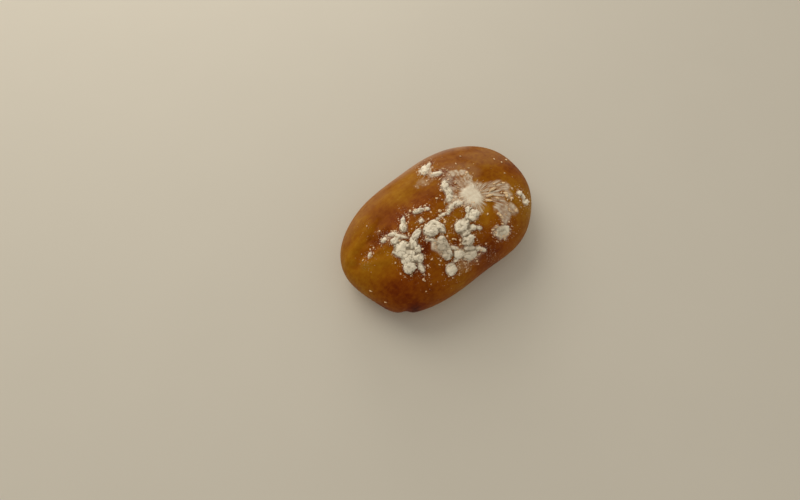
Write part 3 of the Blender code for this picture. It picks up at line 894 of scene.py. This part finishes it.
def add_heap(mesh, heap, draw):
    x, y, half_length, half_width, rise = (heap[at] * MM for at in (0, 1, 2, 3, 5))
    turn = math.radians(heap[4])
    thick = CORE_RISE * rise / (1 - LUMP_SUNK)
    point, facing = on_crust(x, y)
    sizes = (half_length * WIDER, half_width * WIDER, thick)
    add_lump(mesh, point - facing * (LUMP_SUNK * thick), facing, sizes, level_turn(facing, turn))
    count = int(KNOBS_PER_AREA * half_length * half_width / KNOB**2)
    for knob in range(count):
        out = math.sqrt((knob + 0.5) / count)
        swing = knob * GOLDEN_ANGLE + turn
        along = out * half_length * math.cos(swing)
        aside = out * half_width * math.sin(swing)
        spot, outwards = on_crust(x + along * math.cos(turn) - aside * math.sin(turn),
                                  y + along * math.sin(turn) + aside * math.cos(turn))
        radius = KNOB * draw.uniform(0.7, 1.15)
        lift = rise * (1.25 - 0.75 * out) / (1 - LUMP_SUNK)
        sizes = (radius * draw.uniform(0.9, 1.3), radius, max(lift, 0.35 * radius))
        add_lump(mesh, spot - outwards * (LUMP_SUNK * sizes[2]), outwards, sizes,
                 draw.uniform(0, math.pi))


draw = random.Random(SEED)
noise.seed_set(SEED)
heap_lumps = bmesh.new()
for heap in HEAPS:
    add_heap(heap_lumps, heap, draw)
for x, y, half_length, half_width, degrees in CRUMBS:
    spot, outwards = on_crust(x * MM, y * MM)
    sizes = (half_length * MM, half_width * MM, CRUMB_RISE * half_width * MM)
    add_lump(heap_lumps, spot, outwards, sizes, level_turn(outwards, math.radians(degrees)), 3)
lumps_mesh = bpy.data.meshes.new("heap_lumps")
heap_lumps.to_mesh(lumps_mesh)
heap_lumps.free()
print("heaps:", len(HEAPS), "ovals,", len(lumps_mesh.polygons), "faces before fusing")


# %% The powder's material
def powder_finish(name, light, dark, measured):
    material, tree, place = shader_tree(name)
    soft = noise_of(place, 1.8 * MM)
    grain = noise_of(place, 0.22 * MM, 4, 0.7)
    colour = blend_of(sum_of(((soft, 0.6), (grain, 0.5))), dark, light)
    if measured:
        # greyer powder, with painted shade where a heap faces away from the light
        colour = blend_of(attribute_of(tree, "grey_and_shade"), colour, POWDER_GREY_AND_SHADE)
        colour = blend_of(attribute_of(tree, "thin"), colour, POWDER_THIN)
        # painted shade in the powder's hollows and creases
        colour = blend_of(attribute_of(tree, "hollow_shade"), colour, POWDER_HOLLOW_SHADE)
        colour = blend_of(attribute_of(tree, "peach_tint"), colour, CRUMB_LIGHT, "MULTIPLY")
    surface({
        "Base Color": colour, "Roughness": spread_of(grain, 0.2, 0.8, 0.86, 0.98),
        "Normal": bump_of(math_of("ADD", grain, soft), 0.7, 0.18 * MM),
        "Specular IOR Level": 0.2})
    return material


powder_material = powder_finish("dry_powder", POWDER_COLOUR, POWDER_SHADE, True)
crumb_material = powder_finish("peach_crumbs", CRUMB_LIGHT, CRUMB_DARK, False)


# %% Crumbs on points, shared by the heaps and the loose crumbs
CRUMB_FORMS = 5


def random_of(tree, kind, low, high, seed):
    """A random value for each point: a number, a whole number or a vector."""
    first, given = {"FLOAT_VECTOR": (0, 0), "FLOAT": (2, 1), "INT": (4, 2)}[kind]
    return node("FunctionNodeRandomValue", {first: low, first + 1: high, 8: seed}, tree,
                data_type=kind)[given]


def crumb_shapes(tree):
    """Several uneven little balls of 48 triangles, ready to be picked one for each point."""
    forms = []
    place = vector_of("NORMALIZE", node("GeometryNodeInputPosition", {}, tree)[0])
    for form in range(CRUMB_FORMS):
        block = node("GeometryNodeMeshCube", {
            "Size": (2, 2, 2), "Vertices X": 3, "Vertices Y": 3, "Vertices Z": 3}, tree)[0]
        ball = node("GeometryNodeSetPosition", {"Geometry": block, "Position": place})[0]
        bumps = node("ShaderNodeTexNoise", {"W": 3.7 * form, "Scale": 0.9, "Detail": 1.0}, tree,
                     noise_dimensions="4D")["Color"]
        away = vector_of("SCALE", vector_of("SUBTRACT", bumps, (0.5, 0.5, 0.5)), 1.6)
        rough = node("GeometryNodeSetPosition", {"Geometry": ball, "Offset": away})[0]
        forms.append(node("GeometryNodeGeometryToInstance", {"Geometry": rough})[0])
    return node("GeometryNodeJoinGeometry", {"Geometry": forms})[0]


def points_on(given, density):
    return node("GeometryNodeDistributePointsOnFaces", {
        "Mesh": given["Geometry"], "Density": density, "Seed": given["Seed"]})


def mostly_small(tree, steepness, smallest, largest, seed):
    """Random sizes from smallest to largest; the steeper, the fewer of them are large."""
    share = math_of("POWER", random_of(tree, "FLOAT", 0.0, 1.0, seed), steepness)
    return spread_of(share, 0.0, 1.0, smallest, largest, "LINEAR")


def crumbs_on(tree, points, size, flattest, rotation, seed):
    """A crumb on each point, with a form of its own."""
    form = random_of(tree, "FLOAT_VECTOR", flattest, (1.2, 1.0, 0.8), seed)
    return node("GeometryNodeInstanceOnPoints", {
        "Points": points["Points"], "Instance": crumb_shapes(tree), "Pick Instance": True,
        "Instance Index": random_of(tree, "INT", 0, CRUMB_FORMS - 1, seed + 2),
        "Rotation": rotation, "Scale": vector_of("SCALE", form, size)})[0]


# %% The tree that fuses a heap
FULL_TURN = 6.28
FUSED_LEVEL = 0.15  # how dense the volume is at its skin
CREASE_BAND = 0.035  # how far from its middle level the noise still counts as a crease
GRAIN_FINER = 3.2  # than the creases


def heap_tree():
    tree, given = geometry_tree("fused_powder", (
        "Crumbs per Area", "Crumb Size", "Voxel", "Crease Depth", "Crease Size", "Grain Depth"))
    voxel = given["Voxel"]
    points = points_on(given, given["Crumbs per Area"])
    size = times(mostly_small(tree, 2.5, 0.34, 1.0, 11), given["Crumb Size"])
    turn = random_of(tree, "FLOAT_VECTOR", (0, 0, 0), (FULL_TURN, FULL_TURN, FULL_TURN), 13)
    crumbs = crumbs_on(tree, points, size, (0.7, 0.6, 0.4), turn, 12)
    real = node("GeometryNodeRealizeInstances", {"Geometry": crumbs})[0]
    together = node("GeometryNodeJoinGeometry", {"Geometry": [given["Geometry"], real]})[0]
    volume = node("GeometryNodeMeshToVolume", {
        "Mesh": together, "Density": 1.0, "Voxel Size": voxel,
        "Interior Band Width": times(voxel, 2.0)}, resolution_mode="VOXEL_SIZE")[0]
    skin = node("GeometryNodeVolumeToMesh", {
        "Volume": volume, "Voxel Size": voxel, "Threshold": FUSED_LEVEL, "Adaptivity": 0.0},
        resolution_mode="VOXEL_SIZE")[0]
    often = math_of("DIVIDE", 1.0, given["Crease Size"])
    level = node("ShaderNodeTexNoise", {"Scale": often, "Detail": 2.0})["Fac"]
    level = math_of("ABSOLUTE", math_of("SUBTRACT", level))
    crease = spread_of(level, 0.0, CREASE_BAND, 1.0, 0.0)
    grain = node("ShaderNodeTexNoise", {
        "Scale": times(often, GRAIN_FINER), "Detail": 3.0, "Roughness": 0.6})["Fac"]
    grain = times(math_of("SUBTRACT", grain), given["Grain Depth"])
    lift = math_of("SUBTRACT", grain, times(crease, given["Crease Depth"]))
    outwards = node("GeometryNodeInputNormal", {}, tree)[0]
    grainy = node("GeometryNodeSetPosition", {
        "Geometry": skin, "Offset": vector_of("SCALE", outwards, lift)})[0]
    measured = node("GeometryNodeStoreNamedAttribute", {
        "Geometry": grainy, "Name": "crease", "Value": crease}, data_type="FLOAT",
        domain="POINT")[0]
    finish_tree(measured, given["Material"])
    return tree


heaps = run_tree("powder_heaps", lumps_mesh, heap_tree(), {
    "Crumbs per Area": 0.13 / MM**2, "Crumb Size": 1.0 * MM, "Voxel": 0.27 * MM,
    "Crease Depth": 0.45 * MM, "Crease Size": 4.4 * MM, "Grain Depth": 0.44 * MM,
    "Seed": 3, "Material": powder_material})

# %% [markdown]
# ## What the heaps' own finish needs to know
#
# Powder looks brightest where it stands out and darker in its hollows and creases, and the crust
# shows through where it is thin. Soft light alone doesn't bring that out at this size, so shade
# is painted into the hollows and creases, and on heaps that face away from the light. Each
# point's height over the crust is measured, and compared with a blurred map of the tops round it.

# %% Measure how thin the powder is and where it is hollow
def points_of(mesh):
    places = np.empty(len(mesh.vertices) * 3, np.float32)
    mesh.vertices.foreach_get("co", places)
    return places.reshape(-1, 3).astype(float)


def stand_out(points, above, span, cell=0.5):
    """How far each point stands over the powder within about span round it, all in mm."""
    plan = points[:, :2] / MM
    column, row = ((plan - plan.min(axis=0) + 2 * span) / cell).astype(int).T
    tops = np.zeros((column.max() + int(4 * span / cell), row.max() + int(4 * span / cell)))
    np.maximum.at(tops, (column, row), above)
    reach = np.arange(-2 * span, 2 * span + cell / 2, cell)
    weights = np.exp(-((reach / span) ** 2))
    weights /= weights.sum()
    for axis in (0, 1):
        tops = np.apply_along_axis(np.convolve, axis, tops, weights, "same")
    return above - tops[column, row]


def height_over_crust(point):
    nearest_place, outwards, _, _ = crust_tree.find_nearest(point)
    return (point - nearest_place).dot(outwards)


heap_points = points_of(heaps.data)
above = np.array([height_over_crust(Vector(point)) for point in heap_points]) / MM
creases = np.empty(len(heap_points), np.float32)
heaps.data.attributes["crease"].data.foreach_get("value", creases)
rise = 1.15 * stand_out(heap_points, above, 2.2) + 0.15 * stand_out(heap_points, above, 1.0)
# a peach tint on the single crumbs of the table
peach_tint = [soft_step(1.8, 1.0, oval_reach(heap_points, oval)) for oval in CRUMBS]
# Shade is painted into the powder's hollows and creases, and on heaps that face away from the
# light.
paint(heaps.data, {
    "grey_and_shade": strongest_spot(heap_points, GREY_AND_SHADE_SPOTS, 4),
    "thin": 0.7 * soft_step(0.6, 0.1, above),
    "hollow_shade": np.maximum(np.clip(0.85 * (0.16 - rise), 0, 0.80), 0.4 * creases),
    "peach_tint": np.max(peach_tint, axis=0) * (gap_to_nearest_heap(heap_points) > 0)})

# %% [markdown]
# ## Loose crumbs
#
# Round the heaps lie crumbs that fell off them, thick close by and rare further out. Geometry
# nodes scatter them on the crust itself, as many as one of its attributes asks for. Each one is
# a low ball of a few dozen faces, sunk a little so that none of them floats.

# %% The tree that scatters crumbs
def crumb_tree(name, measure):
    tree, given = geometry_tree(name, ("Most per Area", "Smallest", "Largest"))
    wanted = node("GeometryNodeInputNamedAttribute", {"Name": measure}, tree,
                  data_type="FLOAT")[0]
    points = points_on(given, times(wanted, given["Most per Area"]))
    size = mostly_small(tree, 3.0, given["Smallest"], given["Largest"], 21)
    spin = random_of(tree, "FLOAT_VECTOR", (-0.4, -0.4, 0), (0.4, 0.4, FULL_TURN), 23)
    tilt = node("FunctionNodeRotateRotation", {
        "Rotation": points["Rotation"], "Rotate By": spin}, rotation_space="LOCAL")[0]
    crumbs = crumbs_on(tree, points, size, (0.7, 0.5, 0.4), tilt, 22)
    finish_tree(crumbs, given["Material"])
    return tree


SCATTERS = (
    # name, measure, most per square mm, smallest and largest radius in mm
    ("powder_crumbs", "crumbiness", 0.34, 0.20, 0.85),
    ("powder_flakes", "crumbled", 1.10, 0.20, 0.70),
    ("powder_dust", "dustiness", 0.80, 0.09, 0.26),
)
scattered = []
for seed, (name, measure, most, smallest, largest) in enumerate(SCATTERS, 5):
    scattered.append(run_tree(name, crust_mesh.copy(), crumb_tree(name, measure), {
        "Most per Area": most / MM**2, "Smallest": smallest * MM, "Largest": largest * MM,
        "Seed": seed, "Material": crumb_material}))

# %% [markdown]
# ## Put the pieces over the solid
#
# The plan's middle isn't quite the middle of the roll's box, because the shoulder swells one
# side. The solid was centred on its own box, so the same small shift is worked out from the
# crust's box and given to every piece.

# %% Centre and attach
low, high = points_of(crust_mesh).min(axis=0), points_of(crust_mesh).max(axis=0)
shift = Vector((-(low[0] + high[0]) / 2, -(low[1] + high[1]) / 2, -low[2]))
for piece in (crust, heaps, *scattered):
    piece.data.transform(Matrix.Translation([float(step) for step in shift]))
    dress(piece)
print("shift:", [round(step / MM, 2) for step in shift], "mm")

# %% [markdown]
# ## The studio
#
# The roll stands on a plain pale floor. One large soft light comes from behind it, a lower and
# weaker one from the same side, and a dim warm sky fills the shadows. The camera looks down
# steeply. Its place is given by a turn, a rise and a distance from a point near the roll.

# %% Floor
FLOOR_HALF = 2.0
FLOOR_LEVEL = -0.2 * MM  # a little under the base, so that the two don't flicker


def floor_finish():
    material, tree, place = shader_tree("pale_floor")
    cloud = noise_of(place, 60 * MM, 2)
    colour = blend_of(cloud, (0.68, 0.68, 0.67, 1), (0.70, 0.70, 0.69, 1))
    surface({"Base Color": colour, "Roughness": 0.6, "Specular IOR Level": 0.3})
    return material


corners = ((-1, -1), (1, -1), (1, 1), (-1, 1))
floor_mesh = mesh_from("floor", [(x * FLOOR_HALF, y * FLOOR_HALF, FLOOR_LEVEL)
                                 for x, y in corners], [(0, 1, 2, 3)])
floor_mesh.materials.append(floor_finish())
floor = put_in_scene("floor", floor_mesh)


# %% Lights
LIGHTS_AIM = Vector((0, 0, 0.02))
WARM = (1.0, 0.89, 0.70)


def soft_light(name, place, size, watts, colour):
    lamp = bpy.data.lights.new(name, "AREA")
    lamp.shape = "DISK"
    lamp.size = size
    lamp.energy = watts
    lamp.color = colour
    light = put_in_scene(name, lamp)
    light.location = place
    light.rotation_euler = (LIGHTS_AIM - Vector(place)).to_track_quat("-Z", "Y").to_euler()


soft_light("window", (-0.05, 0.78, 0.80), 0.80, 4.0, WARM)
soft_light("low_window", (0.50, 0.83, 0.29), 0.60, 2.1, (1.0, 0.89, 0.74))
sky = bpy.data.worlds.new("dim_sky")
sky.use_nodes = True
sky_light = sky.node_tree.nodes["Background"].inputs
sky_light["Color"].default_value = (*WARM, 1)
sky_light["Strength"].default_value = 0.48
bpy.context.scene.world = sky
bpy.context.scene.view_settings.view_transform = "Standard"

# %% Camera
CAMERA_TURN = math.radians(-39.76)
CAMERA_RISE = math.radians(68.71)
CAMERA_DISTANCE = 318.4 * MM
CAMERA_AIM = Vector((-31.96, 0.59, 24.0)) * MM  # on the plan, before the shift to the box
PICTURE_WIDE = 800  # pixels
FOCAL_PIXELS = 500
SENSOR = 36.0  # mm

back = Vector((math.sin(CAMERA_TURN) * math.cos(CAMERA_RISE),
               -math.cos(CAMERA_TURN) * math.cos(CAMERA_RISE), math.sin(CAMERA_RISE)))
lens = bpy.data.cameras.new("camera")
lens.sensor_width = SENSOR
lens.lens = SENSOR * FOCAL_PIXELS / PICTURE_WIDE
lens.clip_start = 0.01
lens.clip_end = 20
camera = put_in_scene("camera", lens)
camera.location = CAMERA_AIM + shift + back * CAMERA_DISTANCE
camera.rotation_euler = (-back).to_track_quat("-Z", "Y").to_euler()
bpy.context.scene.camera = camera
print("camera at", [round(step / MM) for step in camera.location], "mm")
